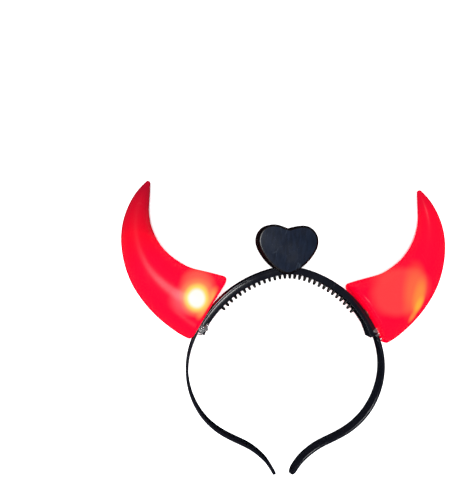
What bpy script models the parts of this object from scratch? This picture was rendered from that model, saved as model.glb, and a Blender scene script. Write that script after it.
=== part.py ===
"""Light-up devil horns headband, lying on its back.

A plastic hoop carries two hollow horns with a lamp in each root, a heart-shaped battery box at the
crown and a row of grip pegs inside. In the headband's own frame X runs along the crown from one horn
to the other, Y points up between the horns, and Z runs through the hoop towards its front. The frame
is then leaned to the angle at which the real thing comes to rest, on the backs of its horns.

Lengths are in millimetres, and MM turns them into metres.
"""

import math

import bpy
import bmesh
import numpy as np
from mathutils import Vector

MM = 0.001
GAP = 0.3                       # clearance between pieces that rest on each other

# Hoop. Clock angles run from the crown, 0, to the leg tips.
STRIP_THICKNESS = 1.8
STRIP_DEPTH = 9.0
LEG_TIP_CLOCK = 175.0
LEG_TIP_ROUND = 4.5             # length over which a leg tip rounds off
CHANNEL_DEPTH = 9.6             # front to back over the cheeks
CHANNEL_HEIGHT = 4.9            # outer face to the cheeks' inner edge
CHANNEL_END_HEIGHT = 6.0        # the same at the stepped ends
CHANNEL_END_CLOCK = 66.0
CHANNEL_SWELL_CLOCK = 58.0      # the channel thickens from here to its ends
CHEEK = 1.5
CHANNEL_CORNER = 0.6

# The hoop's outer face, half of it: distance from the hoop's centre at each clock angle.
HOOP = (
    # clock  radius
    (0.0, 68.6),
    (12.0, 67.7),
    (24.0, 66.5),
    (36.0, 65.7),
    (50.0, 65.0),
    (66.0, 65.1),
    (78.0, 65.4),
    (90.0, 65.0),
    (104.0, 63.4),
    (118.0, 60.9),
    (132.0, 57.5),
    (146.0, 54.3),
    (155.0, 53.9),
    (164.0, 56.4),
    (170.0, 60.6),
    (175.0, 67.0),
)

# Comb.
COMB_PLATE = 1.5
COMB_RECESS = 0.3               # the plate's face lies this far inside the cheeks' edge
COMB_END_CLOCK = 55.0
PEG_COUNT = 29
PEG_END_CLOCK = 46.5
PEG_LENGTH = 3.2
PEG_ROOT = 1.1                  # radius
PEG_POINT = 0.85
PEG_SIDES = 6

# Heart-shaped battery box. Its outline is measured from the middle of the line over its lobes.
HEART_X = -3.5
HEART_TOP_Y = 94.3
HEART_BACK_Z = -5.2
HEART_JOINT_Z = 5.1
HEART_FRONT_Z = 9.0
HEART_RIM = 1.4
HEART_WALL = 1.7
HEART = (
    # x      y      handle towards the cleft  handle towards the point
    (0.0, -1.4, (-2.3, -1.2), (2.3, -1.2)),
    (9.5, 0.8, (5.0, 0.8), (15.0, 0.8)),
    (19.4, -9.6, (19.4, -3.6), (19.4, -18.0)),
    (0.0, -30.4, (6.4, -30.4), (-6.4, -30.4)),
)

# Horn: sections from the base to the point. out is the distance from the base, curl the shift
# towards the crown side, lean the centreline's angle to the base's normal in degrees.
HORN_WALL = 1.5
HORN_FLOOR = 1.8
HORN_RIM = 2.6
HORN_HOLE = 4.5                 # radius
HORN_SEAT = 200.0               # radius to which the base is hollowed along the hoop
HORN_SIDES = 32
OUTER_RINGS = 17
INNER_RINGS = 9
HORN = (
    # out    curl   lean   half_width  half_depth  squareness
    (0.0, 0.0, -8.0, 23.2, 15.6, 2.5),
    (9.0, -1.9, -6.0, 21.9, 15.7, 2.35),
    (17.8, -2.8, -1.0, 20.1, 15.2, 2.2),
    (26.6, -2.5, 6.0, 18.3, 14.4, 2.1),
    (35.4, -0.7, 14.0, 16.7, 13.4, 2.05),
    (44.2, 2.4, 23.0, 14.9, 12.2, 2.0),
    (52.5, 7.3, 34.5, 12.9, 10.8, 2.0),
    (60.2, 14.0, 46.0, 10.9, 9.2, 2.0),
    (66.6, 22.5, 59.0, 8.7, 7.4, 2.0),
    (71.0, 32.9, 72.0, 6.2, 5.4, 2.0),
    (73.0, 42.2, 82.0, 3.8, 3.4, 2.0),
    (73.8, 48.5, 88.0, 1.5, 1.5, 2.0),
)
HORNS = (
    # name   side  clock of the base's middle  lean away from the crown  size  clock of the lamp
    ("left", -1, 51.6, 8.2, 0.982, 51.3),
    ("right", 1, 52.9, 2.2, 1.0, 53.0),
)

# Lamp, an LED with a flange and a round nose.
LED_RADIUS = 2.5
LED_FLANGE = 2.9
LED_FLANGE_HEIGHT = 1.0
LED_LENGTH = 8.7

REST_LEAN = -9.5                # degrees about X: the horns' points and crown side go down


def clear_scene():
    for item in list(bpy.data.objects):
        bpy.data.objects.remove(item, do_unlink=True)


def new_collection(name):
    made = bpy.data.collections.new(name)
    bpy.context.scene.collection.children.link(made)
    return made


def plastic(name, colour, roughness, transmission=0.0):
    """A Principled BSDF plastic."""
    made = bpy.data.materials.new(name)
    made.use_nodes = True
    shader = made.node_tree.nodes["Principled BSDF"]
    shader.inputs["Base Color"].default_value = (*colour, 1.0)
    shader.inputs["Roughness"].default_value = roughness
    shader.inputs["Metallic"].default_value = 0.0
    shader.inputs["Transmission Weight"].default_value = transmission
    made.diffuse_color = (*colour, 1.0)
    return made


def add_object(name, mesh, collection, material=None, parent=None):
    made = bpy.data.objects.new(name, mesh)
    collection.objects.link(made)
    if material:
        mesh.materials.clear()
        mesh.materials.append(material)
    made.parent = parent
    return made


def as_helper(item):
    """Cutters and joined blanks stay out of the render."""
    item.hide_render = True
    item.display_type = "WIRE"
    return item


def add_boolean(item, other, operation):
    made = item.modifiers.new(operation.lower(), "BOOLEAN")
    made.operation = operation
    made.solver = "EXACT"
    made.object = other
    return made


def mesh_from(name, points, faces):
    mesh = bpy.data.meshes.new(name)
    mesh.from_pydata([tuple(c * MM for c in point) for point in points], [], faces)
    shaped = bmesh.new()
    shaped.from_mesh(mesh)
    bmesh.ops.recalc_face_normals(shaped, faces=shaped.faces)
    shaped.to_mesh(mesh)
    shaped.free()
    mesh.shade_smooth()
    mesh.set_sharp_from_angle(angle=math.radians(35))
    return mesh


class Curve:
    """A smooth function through a column of values, bending evenly, level at its start when flat_start is set."""

    def __init__(self, stations, values, flat_start=False):
        x = np.asarray(stations, float)
        y = np.asarray(values, float)
        step = np.diff(x)
        system = np.eye(len(x))
        right = np.zeros(len(x))
        for i in range(1, len(x) - 1):
            system[i, i - 1:i + 2] = step[i - 1], 2 * (step[i - 1] + step[i]), step[i]
            right[i] = 6 * ((y[i + 1] - y[i]) / step[i] - (y[i] - y[i - 1]) / step[i - 1])
        if flat_start:
            system[0, :2] = 2 * step[0], step[0]
            right[0] = 6 * (y[1] - y[0]) / step[0]
        self.x, self.y, self.bend = x, y, np.linalg.solve(system, right)

    def __call__(self, at):
        i = int(np.clip(np.searchsorted(self.x, at) - 1, 0, len(self.x) - 2))
        span = self.x[i + 1] - self.x[i]
        after = (at - self.x[i]) / span
        before = 1 - after
        swell = (before ** 3 - before) * self.bend[i] + (after ** 3 - after) * self.bend[i + 1]
        return float(before * self.y[i] + after * self.y[i + 1] + swell * span * span / 6)


hoop_radius = Curve([row[0] for row in HOOP], [row[1] for row in HOOP], flat_start=True)


def hoop_point(clock):
    turn = math.radians(clock)
    radius = hoop_radius(abs(clock))
    return np.array((radius * math.sin(turn), radius * math.cos(turn)))


def hoop_station(clock):
    """The hoop's outer face at a clock angle: point, outward normal and direction of rising clock."""
    along = hoop_point(clock + 0.05) - hoop_point(clock - 0.05)
    along /= np.linalg.norm(along)
    return hoop_point(clock), np.array((-along[1], along[0])), along


def hoop_sweep(name, clocks, section):
    """A solid along the hoop. section(clock) gives corners as (inset from the outer face, z)."""
    points, faces = [], []
    for clock in clocks:
        at, normal, _ = hoop_station(clock)
        corners = section(clock)
        for inset, z in corners:
            x, y = at - normal * inset
            points.append((x, y, z))
    count = len(corners)
    for row in range(len(clocks) - 1):
        for k in range(count):
            a = row * count + k
            b = row * count + (k + 1) % count
            faces.append((a, b, b + count, a + count))
    faces.append(tuple(range(count)))
    faces.append(tuple(range(len(points) - count, len(points))))
    return mesh_from(name, points, faces)


def rounded_section(top, bottom, half_depth, corner, steps=2):
    """Corners of a rectangle with rounded edges, inset from top to bottom."""
    made = []
    corner = min(corner, half_depth * 0.95, (bottom - top) * 0.45)
    centres = (
        (top + corner, half_depth - corner, 180),
        (top + corner, corner - half_depth, 270),
        (bottom - corner, corner - half_depth, 0),
        (bottom - corner, half_depth - corner, 90),
    )
    for inset, z, start in centres:
        for k in range(steps + 1):
            turn = math.radians(start - 90 * (1 - k / steps)) + math.pi / 2
            made.append((inset + corner * math.cos(turn), z + corner * math.sin(turn)))
    return made


def even_clocks(end, count):
    return [-end + 2 * end * k / (count - 1) for k in range(count)]


def arc_to_tip(clock):
    """Distance along the outer face from a clock angle to the leg tip."""
    marks = np.linspace(abs(clock), LEG_TIP_CLOCK, 12)
    spots = np.array([hoop_point(mark) for mark in marks])
    return float(np.linalg.norm(np.diff(spots, axis=0), axis=1).sum())


def strip_section(clock):
    left = arc_to_tip(clock)
    short = max(0.0, 1 - left / LEG_TIP_ROUND)
    half_depth = STRIP_DEPTH / 2 * math.sqrt(max(1 - short * short, 0.04))
    thinning = 0.3 * short
    return rounded_section(thinning, STRIP_THICKNESS - thinning, half_depth, 0.5, 1)


def channel_height(clock):
    swell = (abs(clock) - CHANNEL_SWELL_CLOCK) / (CHANNEL_END_CLOCK - CHANNEL_SWELL_CLOCK)
    swell = min(max(swell, 0.0), 1.0)
    return CHANNEL_HEIGHT + (CHANNEL_END_HEIGHT - CHANNEL_HEIGHT) * swell


def build_band(parts, cutters, root):
    tip_clocks = [LEG_TIP_CLOCK - d for d in (0.0, 0.4, 1.0, 1.8, 2.8, 4.2)]
    half = [k * 4.0 for k in range(1, 42)] + [167.5] + tip_clocks[::-1]
    clocks = [-c for c in half[::-1]] + [0.0] + half
    black = plastic("black glossy plastic", (0.012, 0.013, 0.017), 0.28)
    band = add_object("band", hoop_sweep("band", clocks, strip_section), parts, black, root)

    def housing_section(clock):
        return rounded_section(0.9, channel_height(clock), CHANNEL_DEPTH / 2, CHANNEL_CORNER)

    def void_section(clock):
        half_void = CHANNEL_DEPTH / 2 - CHEEK
        return [(STRIP_THICKNESS, half_void), (STRIP_THICKNESS, -half_void), (9.0, -half_void), (9.0, half_void)]

    housing = hoop_sweep("channel_blank", even_clocks(CHANNEL_END_CLOCK, 41), housing_section)
    void = hoop_sweep("channel_void", even_clocks(COMB_END_CLOCK + 0.3, 37), void_section)
    housing = as_helper(add_object("channel_blank", housing, cutters, None, root))
    void = as_helper(add_object("channel_void", void, cutters, None, root))
    add_boolean(band, housing, "UNION")
    add_boolean(band, void, "DIFFERENCE")
    return band


def build_comb(parts, cutters, root):
    face = CHANNEL_HEIGHT - COMB_RECESS
    half_depth = CHANNEL_DEPTH / 2 - CHEEK - GAP

    def section(_clock):
        top = face - COMB_PLATE
        return [(top, half_depth), (top, -half_depth), (face, -half_depth), (face, half_depth)]

    dark = plastic("black comb plastic", (0.014, 0.013, 0.014), 0.36)
    comb = add_object("comb", hoop_sweep("comb", even_clocks(COMB_END_CLOCK, 37), section), parts, dark, root)
    rings = (
        # height past the cheeks' edge, radius
        (-COMB_RECESS - 0.8, PEG_ROOT),
        (PEG_LENGTH - PEG_POINT, PEG_POINT),
        (PEG_LENGTH - 0.3 * PEG_POINT, 0.75 * PEG_POINT),
        (PEG_LENGTH, 0.3 * PEG_POINT),
    )
    points, faces = [], []
    for clock in even_clocks(PEG_END_CLOCK, PEG_COUNT):
        at, normal, along = hoop_station(clock)
        first = len(points)
        for height, radius in rings:
            centre = at - normal * (CHANNEL_HEIGHT + height)
            for j in range(PEG_SIDES):
                turn = 2 * math.pi * (j + 0.5) / PEG_SIDES
                x, y = centre + along * radius * math.cos(turn)
                points.append((x, y, 1.25 * radius * math.sin(turn)))
        for row in range(len(rings) - 1):
            for j in range(PEG_SIDES):
                a = first + row * PEG_SIDES + j
                b = first + row * PEG_SIDES + (j + 1) % PEG_SIDES
                faces.append((a, b, b + PEG_SIDES, a + PEG_SIDES))
        faces.append(tuple(range(first, first + PEG_SIDES)))
        faces.append(tuple(range(len(points) - PEG_SIDES, len(points))))
    pegs = as_helper(add_object("comb_pegs", mesh_from("comb_pegs", points, faces), cutters, None, root))
    add_boolean(comb, pegs, "UNION")
    return comb


def heart_mesh(name, shrink, back, front, x=HEART_X, top=HEART_TOP_Y):
    """The heart outline as a flat curve, extruded from back to front, its caps welded on."""
    curve = bpy.data.curves.new(name, "CURVE")
    curve.dimensions = "2D"
    curve.fill_mode = "BOTH"
    curve.resolution_u = 10
    curve.extrude = (front - back) / 2 * MM
    curve.offset = -shrink * MM
    rows = list(HEART)
    for px, py, before, after in HEART[-2:0:-1]:
        rows.append((-px, py, (-after[0], after[1]), (-before[0], before[1])))
    spline = curve.splines.new("BEZIER")
    spline.use_cyclic_u = True
    spline.bezier_points.add(len(rows) - 1)
    for point, (px, py, before, after) in zip(spline.bezier_points, rows):
        point.handle_left_type = point.handle_right_type = "FREE"
        point.co = (px * MM, py * MM, 0)
        point.handle_left = (before[0] * MM, before[1] * MM, 0)
        point.handle_right = (after[0] * MM, after[1] * MM, 0)
    carrier = bpy.data.objects.new(name + "_curve", curve)
    bpy.context.scene.collection.objects.link(carrier)
    carrier.location = (x * MM, top * MM, (back + front) / 2 * MM)
    bpy.context.view_layer.update()
    graph = bpy.context.evaluated_depsgraph_get()
    mesh = bpy.data.meshes.new_from_object(carrier.evaluated_get(graph))
    mesh.transform(carrier.matrix_world)
    bpy.data.objects.remove(carrier, do_unlink=True)
    shaped = bmesh.new()
    shaped.from_mesh(mesh)
    bmesh.ops.remove_doubles(shaped, verts=shaped.verts, dist=1e-6)
    bmesh.ops.recalc_face_normals(shaped, faces=shaped.faces)
    shaped.to_mesh(mesh)
    shaped.free()
    mesh.name = name
    return mesh


def round_rim(mesh, z, width, segments):
    """Bevels the outline's edges that lie in the plane z."""
    shaped = bmesh.new()
    shaped.from_mesh(mesh)
    rim = [
        edge for edge in shaped.edges
        if all(abs(v.co.z - z * MM) < 1e-6 for v in edge.verts)
        and any(abs(face.normal.z) < 0.5 for face in edge.link_faces)
    ]
    bmesh.ops.bevel(
        shaped, geom=rim, offset=width * MM, segments=segments, profile=0.5, affect="EDGES", clamp_overlap=True
    )
    shaped.to_mesh(mesh)
    shaped.free()


def build_battery(parts, cutters, root):
    shell = plastic("black box plastic", (0.016, 0.014, 0.018), 0.3)
    cover = plastic("slate lid plastic", (0.018, 0.024, 0.036), 0.34)
    mesh = heart_mesh("battery_box", 0.0, HEART_BACK_Z, HEART_JOINT_Z)
    round_rim(mesh, HEART_BACK_Z, HEART_RIM, 2)
    box = add_object("battery_box", mesh, parts, shell, root)

    def saddle_section(_clock):
        return [(-GAP, 14.0), (-GAP, -14.0), (9.0, -14.0), (9.0, 14.0)]

    saddle = hoop_sweep("box_saddle", even_clocks(34.0, 35), saddle_section)
    saddle = as_helper(add_object("box_saddle", saddle, cutters, None, root))
    inside = heart_mesh("box_hollow", HEART_WALL, HEART_BACK_Z + HEART_WALL, HEART_FRONT_Z + 3)

    def floor_section(_clock):
        return [(-GAP - HEART_WALL, 14.0), (-GAP - HEART_WALL, -14.0), (11.0, -14.0), (11.0, 14.0)]

    floor = hoop_sweep("box_floor", even_clocks(34.0, 35), floor_section)
    floor = as_helper(add_object("box_floor", floor, cutters, None, root))
    inside = as_helper(add_object("box_hollow", inside, cutters, None, root))
    add_boolean(inside, floor, "DIFFERENCE")
    add_boolean(box, inside, "DIFFERENCE")
    add_boolean(box, saddle, "DIFFERENCE")

    mesh = heart_mesh("battery_lid", 0.0, HEART_JOINT_Z + GAP, HEART_FRONT_Z)
    round_rim(mesh, HEART_FRONT_Z, HEART_RIM, 3)
    lid = add_object("battery_lid", mesh, parts, cover, root)
    return box, lid


class HornShape:
    """The horn's skin. Stations run from 0 at the base to 1 at the point, and size scales the table."""

    def __init__(self, size):
        out, curl, lean, width, depth, square = (np.array(column) for column in zip(*HORN))
        out, curl, width, depth = out * size, curl * size, width * size, depth * size
        steps = np.hypot(np.diff(out), np.diff(curl))
        arc = np.concatenate([[0.0], np.cumsum(steps)])
        self.length = arc[-1]
        marks = arc / arc[-1]
        self.out = Curve(marks, out)
        self.curl = Curve(marks, curl)
        self.lean = Curve(marks, lean)
        self.width = Curve(marks, width)
        self.depth = Curve(marks, depth)
        self.square = Curve(marks, square)

    def ring(self, station, inset=0.0, lift=0.0, level=0.0):
        """One closed section, drawn in by inset and lifted along the horn. level 1 lays it parallel to the base."""
        lean = math.radians(self.lean(station)) * (1 - level)
        centre = np.array((self.curl(station), self.out(station)))
        centre += lift * np.array((math.sin(lean), math.cos(lean)))
        across = np.array((math.cos(lean), -math.sin(lean)))
        width = self.width(station) - inset
        depth = self.depth(station) - inset
        power = 2 / self.square(station)
        points = []
        for k in range(HORN_SIDES):
            turn = 2 * math.pi * k / HORN_SIDES
            c, s = math.cos(turn), math.sin(turn)
            shift = width * math.copysign(abs(c) ** power, c)
            z = depth * math.copysign(abs(s) ** power, s)
            x, y = centre + across * shift
            points.append((x, y - level * seat_drop(x), z))
        return points


def seat_drop(x):
    """How far the hollowed base reaches past the plane through its middle."""
    return x * x / (2 * HORN_SEAT)


def horn_mesh(name, side, size):
    """Inner skin from its point down to the floor, the lamp hole, the base and its rim, then the outer skin."""
    shape = HornShape(size)
    rings = []
    for k in range(INNER_RINGS):
        station = 0.02 + 0.82 * (1 - k / INNER_RINGS)
        level = max(0.0, 1 - station / 0.16)
        rings.append(shape.ring(station, HORN_WALL, 0.0, level))
    floor = shape.ring(0.0, HORN_WALL, HORN_FLOOR, 1.0)
    rings.append(floor)
    round_hole = [
        (HORN_HOLE * math.cos(2 * math.pi * k / HORN_SIDES), HORN_HOLE * math.sin(2 * math.pi * k / HORN_SIDES))
        for k in range(HORN_SIDES)
    ]
    rings.append([(x, HORN_FLOOR - seat_drop(x), z) for x, z in round_hole])
    rings.append([(x, -seat_drop(x), z) for x, z in round_hole])
    rim = shape.ring(0.0, HORN_RIM, 0.0, 1.0)
    middle = [((p[0] + x) / 2, (p[2] + z) / 2) for p, (x, z) in zip(rim, round_hole)]
    rings.append([(x, -seat_drop(x), z) for x, z in middle])
    for turn in (0.0, 30.0, 60.0, 90.0):
        angle = math.radians(turn)
        inset = HORN_RIM * (1 - math.sin(angle))
        lift = HORN_RIM * (1 - math.cos(angle))
        rings.append(shape.ring(0.0, inset, lift, 1.0))
    for k in range(1, OUTER_RINGS + 1):
        station = 0.04 + 0.96 * (k / OUTER_RINGS) ** 0.94
        level = max(0.0, 1 - station / 0.16)
        rings.append(shape.ring(station, 0.0, 0.0, level))
    tip = (shape.curl(1.0) + 0.7, shape.out(1.0), 0.0)
    inner_tip = tuple(np.mean(np.array(rings[0]), axis=0))

    points = [(p[0] * -side, p[1], p[2]) for ring in rings for p in ring]
    last = len(points)
    points.append((inner_tip[0] * -side, inner_tip[1], inner_tip[2]))
    points.append((tip[0] * -side, tip[1], tip[2]))
    faces = []
    for row in range(len(rings) - 1):
        for k in range(HORN_SIDES):
            a = row * HORN_SIDES + k
            b = row * HORN_SIDES + (k + 1) % HORN_SIDES
            faces.append((a, b, b + HORN_SIDES, a + HORN_SIDES))
    end = (len(rings) - 1) * HORN_SIDES
    for k in range(HORN_SIDES):
        follow = (k + 1) % HORN_SIDES
        faces.append((follow, k, last))
        faces.append((end + k, end + follow, last + 1))
    return mesh_from(name, points, faces)


def horn_pose(side, clock, lean):
    """Where a horn's base lies: its middle faces the hoop at the clock angle, and the horn leans away from the crown."""
    _, normal, _ = hoop_station(side * clock)
    turn = math.atan2(normal[1], normal[0]) - side * math.radians(lean)
    out = np.array((math.cos(turn), math.sin(turn)))
    across = np.array((-out[1], out[0]))
    middle = hoop_point(side * clock)
    closest = math.inf
    for x in np.linspace(-21.0, 21.0, 43):
        spot = middle + across * x - out * seat_drop(x)
        spot_clock = math.degrees(math.atan2(spot[0], spot[1]))
        closest = min(closest, float(np.linalg.norm(spot)) - hoop_radius(abs(spot_clock)))
    return middle + out * (GAP - closest), turn


def build_horn(name, side, clock, lean, size, parts, root):
    red = plastic("red translucent plastic " + name, (0.85, 0.008, 0.03), 0.32, 0.25)
    horn = add_object("horn_" + name, horn_mesh("horn_" + name, side, size), parts, red, root)
    base, turn = horn_pose(side, clock, lean)
    horn.location = (base[0] * MM, base[1] * MM, 0)
    horn.rotation_euler = (0, 0, turn - math.pi / 2)
    return horn


def build_led(name, side, clock, parts, root):
    """A turned lamp that stands on the hoop's outer face."""
    nose = LED_LENGTH - LED_RADIUS
    profile = [(0.0, LED_LENGTH)]
    for k in range(1, 6):
        turn = math.radians(18 * k)
        profile.append((LED_RADIUS * math.sin(turn), nose + LED_RADIUS * math.cos(turn)))
    profile += [
        (LED_RADIUS, LED_FLANGE_HEIGHT),
        (LED_FLANGE, LED_FLANGE_HEIGHT),
        (LED_FLANGE, 0.0),
        (0.0, 0.0),
    ]
    mesh = bpy.data.meshes.new("led_" + name)
    edges = [(k, k + 1) for k in range(len(profile) - 1)]
    mesh.from_pydata([(r * MM, 0, h * MM) for r, h in profile], edges, [])
    clear = plastic("clear lamp plastic " + name, (0.9, 0.86, 0.78), 0.12, 0.6)
    led = add_object("led_" + name, mesh, parts, clear, root)
    turned = led.modifiers.new("turn", "SCREW")
    turned.axis = "Z"
    turned.angle = math.radians(360)
    turned.steps = turned.render_steps = 20
    turned.use_merge_vertices = True
    turned.merge_threshold = 1e-5
    turned.use_smooth_shade = True
    at, normal, _ = hoop_station(side * clock)
    seat = at + normal * GAP
    led.location = (seat[0] * MM, seat[1] * MM, 0)
    led.rotation_mode = "QUATERNION"
    led.rotation_quaternion = Vector((normal[0], normal[1], 0)).to_track_quat("Z", "Y")
    return led


def rest_on_floor(root, parts):
    """Leans the headband, then moves it so that its box stands on the origin, centred."""
    root.rotation_euler = (math.radians(REST_LEAN), 0, 0)
    bpy.context.view_layer.update()
    graph = bpy.context.evaluated_depsgraph_get()
    low = np.full(3, np.inf)
    high = np.full(3, -np.inf)
    for item in parts.objects:
        evaluated = item.evaluated_get(graph)
        mesh = evaluated.to_mesh()
        points = np.empty(len(mesh.vertices) * 3, np.float32)
        mesh.vertices.foreach_get("co", points)
        evaluated.to_mesh_clear()
        world = np.array(evaluated.matrix_world)
        points = points.reshape(-1, 3) @ world[:3, :3].T + world[:3, 3]
        low = np.minimum(low, points.min(axis=0))
        high = np.maximum(high, points.max(axis=0))
    root.location = Vector((-(low[0] + high[0]) / 2, -(low[1] + high[1]) / 2, -low[2]))
    bpy.context.view_layer.update()


def main():
    clear_scene()
    parts = new_collection("devil_horns_headband")
    cutters = new_collection("cutters")
    cutters.hide_render = True
    root = bpy.data.objects.new("headband_frame", None)
    bpy.context.scene.collection.objects.link(root)
    build_band(parts, cutters, root)
    build_comb(parts, cutters, root)
    build_battery(parts, cutters, root)
    for name, side, clock, lean, size, lamp in HORNS:
        build_horn(name, side, clock, lean, size, parts, root)
        build_led(name, side, lamp, parts, root)
    rest_on_floor(root, parts)


main()
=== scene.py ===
"""Light-up devil horns headband, dressed around its solid model.

The hoop, its channel and the comb are swept along one curve, the horns are lofted from a table of
sections, and the heart box is cut from one outline. Tables and sizes are in millimetres, in the
headband's own frame: X runs along the crown, Y points up between the horns, and Z runs through the
hoop towards its front. PLACE takes them to the table top, in metres.
"""

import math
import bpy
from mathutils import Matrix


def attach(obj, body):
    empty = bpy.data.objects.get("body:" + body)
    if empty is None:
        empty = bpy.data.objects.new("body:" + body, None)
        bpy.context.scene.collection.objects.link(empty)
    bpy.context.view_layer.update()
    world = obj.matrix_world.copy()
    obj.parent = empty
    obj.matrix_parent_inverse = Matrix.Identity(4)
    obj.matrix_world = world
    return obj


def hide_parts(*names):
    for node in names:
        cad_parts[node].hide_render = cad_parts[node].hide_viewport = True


bl_info = {
    "name": "Light-Up Devil Horns Headband",
    "version": (1, 0, 0),
    "blender": (4, 5, 0),
    "location": "View3D > Sidebar > Headband",
    "description": "Builds a light-up devil horns headband with its finishes, a table top and studio light",
    "category": "Object",
}

from contextlib import contextmanager

import bmesh
import bpy
import numpy as np
from bpy.props import FloatProperty, FloatVectorProperty, IntProperty, PointerProperty
from mathutils import Matrix, Vector, noise

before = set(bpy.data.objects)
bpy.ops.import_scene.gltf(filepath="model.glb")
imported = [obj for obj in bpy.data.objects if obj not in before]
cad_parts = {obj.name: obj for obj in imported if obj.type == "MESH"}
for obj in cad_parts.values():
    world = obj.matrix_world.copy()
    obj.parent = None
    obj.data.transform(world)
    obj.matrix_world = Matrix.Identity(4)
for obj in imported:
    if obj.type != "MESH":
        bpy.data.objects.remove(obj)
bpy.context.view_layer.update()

MM = 0.001
HOOP_CENTRE = (1.527, -27.308, 23.140)
REST_LEAN = -9.5
PLACE = (
    Matrix.Translation(Vector(HOOP_CENTRE) * MM)
    @ Matrix.Rotation(math.radians(REST_LEAN), 4, "X")
    @ Matrix.Scale(MM, 4)
)
COLLECTION = "devil_horns_headband"

# The hoop's outer face, half of it. Clock angles run from the crown to the leg tips, in degrees.
HOOP = (
    # clock  radius
    (0.0, 68.6),
    (12.0, 67.7),
    (24.0, 66.5),
    (36.0, 65.7),
    (50.0, 65.0),
    (66.0, 65.1),
    (78.0, 65.4),
    (90.0, 65.0),
    (104.0, 63.4),
    (118.0, 60.9),
    (132.0, 57.5),
    (146.0, 54.3),
    (155.0, 53.9),
    (164.0, 56.4),
    (170.0, 60.6),
    (175.0, 67.0),
)
LEG_TIP_CLOCK = 175.0
LEG_TIP_ROUND = 4.5
LEG_TIP_SPAN = 4.2              # clock angle over which the tip is finely divided
CHANNEL_END_CLOCK = 66.0
CHANNEL_SWELL_CLOCK = 58.0
CHANNEL_SWELL = 1.1
CHANNEL_TOP = 0.9
CHANNEL_EDGE = 0.3
GROOVE_HALF = 3.3
GROOVE_DEPTH = 3.1
GROOVE_END_CLOCK = 55.3
COMB_END_CLOCK = 55.0
PEG_END_CLOCK = 46.5

# Horn sections from the base to the point. out is the distance from the base, curl the shift
# towards the crown side, lean the centreline's angle to the base's normal in degrees.
HORN = (
    # out    curl   lean   half_width  half_depth  squareness
    (0.0, 0.0, -8.0, 23.2, 15.6, 2.5),
    (9.0, -1.9, -6.0, 21.9, 15.7, 2.35),
    (17.8, -2.8, -1.0, 20.1, 15.2, 2.2),
    (26.6, -2.5, 6.0, 18.3, 14.4, 2.1),
    (35.4, -0.7, 14.0, 16.7, 13.4, 2.05),
    (44.2, 2.4, 23.0, 14.9, 12.2, 2.0),
    (52.5, 7.3, 34.5, 12.9, 10.8, 2.0),
    (60.2, 14.0, 46.0, 10.9, 9.2, 2.0),
    (66.6, 22.5, 59.0, 8.7, 7.4, 2.0),
    (71.0, 32.9, 72.0, 6.2, 5.4, 2.0),
    (73.0, 42.2, 82.0, 3.8, 3.4, 2.0),
    (73.8, 48.5, 88.0, 1.5, 1.5, 2.0),
)
HORN_SEAT = 200.0
HORN_RIM = 2.6
HORN_HOLE = 4.5
HORN_FLOOR = 1.8
FLOOR_RING = 10.0               # radius of a ring of faces round the lamp hole
HOLE_EDGE = 0.3
HORN_LEVEL = 0.16               # share of the length over which the sections start to lean
HOLLOW_START, HOLLOW_END = 0.02, 0.86
TIP_REACH = 1.1                 # how far the rounded point stands past the last section
SEAM = (
    # distance from the parting plane, share of the seam's height
    (0.0, 1.0),
    (0.16, 0.85),
    (0.3, 0.12),
    (0.55, 0.0),
)
HORNS = (
    # name   side  clock of the base's middle  lean away from the crown  size  clock of the lamp
    ("left", -1, 51.6, 8.2, 0.982, 51.3),
    ("right", 1, 52.9, 2.2, 1.0, 53.0),
)
# Light in each horn's wall, from the widest patch to the hottest. A patch lies round a line that runs
# from front to back through x and y. turn is the direction of its long axis, and long its stretch.
# It is whole up to the distance full and gone at the distance dark.
GLOW = {
    "left": (
        # x      y     turn   long  full  dark  red    green  blue
        (-66.6, 46.3, 160.0, 1.15, 3.0, 10.4, (1.0, 0.09, 0.1)),
        (-59.8, 54.2, 95.0, 1.1, 7.0, 12.5, (1.0, 0.1, 0.055)),
        (-53.6, 45.6, 60.0, 2.6, 1.4, 4.8, (1.0, 0.5, 0.09)),
        (-60.0, 49.3, 90.0, 1.15, 6.2, 11.3, (1.0, 0.28, 0.08)),
        (-60.0, 48.6, 90.0, 1.12, 5.5, 8.7, (1.0, 0.75, 0.12)),
        (-60.1, 48.4, 90.0, 1.12, 3.7, 6.3, (1.0, 1.0, 0.9)),
    ),
    "right": (
        (69.9, 55.4, 22.0, 1.4, 11.0, 17.0, (1.0, 0.05, 0.036)),
        (77.8, 56.6, 77.0, 2.4, 2.0, 9.0, (1.0, 0.14, 0.036)),
        (81.4, 52.8, 75.0, 2.8, 1.0, 5.8, (1.0, 0.27, 0.03)),
        (78.6, 40.2, 62.0, 2.2, 0.5, 3.2, (1.0, 0.22, 0.03)),
        (81.8, 47.2, 66.0, 2.0, 0.8, 4.0, (0.98, 0.44, 0.025)),
    ),
}
# How the red light fades towards each horn's point, in shares of the horn's length.
FADE = {
    # name  starts  ends  light left
    "left": (0.44, 0.71, 0.0),
    "right": (0.6, 1.0, 0.7),
}

# Heart outline, measured from the middle of the line over its lobes.
HEART = (
    # x      y      handle towards the cleft  handle towards the point
    (0.0, -1.4, (-2.3, -1.2), (2.3, -1.2)),
    (9.5, 0.8, (5.0, 0.8), (15.0, 0.8)),
    (19.4, -9.6, (19.4, -3.6), (19.4, -18.0)),
    (0.0, -30.4, (6.4, -30.4), (-6.4, -30.4)),
)
HEART_AT = (-3.5, 94.3)
HEART_BACK = -5.2
HEART_JOINT = 5.1
HEART_FRONT = 9.0
HEART_WALL = 1.7
FACE_BORDER = 0.12              # between the lid's rim and its frosted face
CUT_REACH = 34.0                # the block that cuts the saddle: clock angle, half depth, height
CUT_HALF = 14.0
CUT_HEIGHT = 12.0
CLEARANCE = 0.3
WELD = 1e-3

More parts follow.
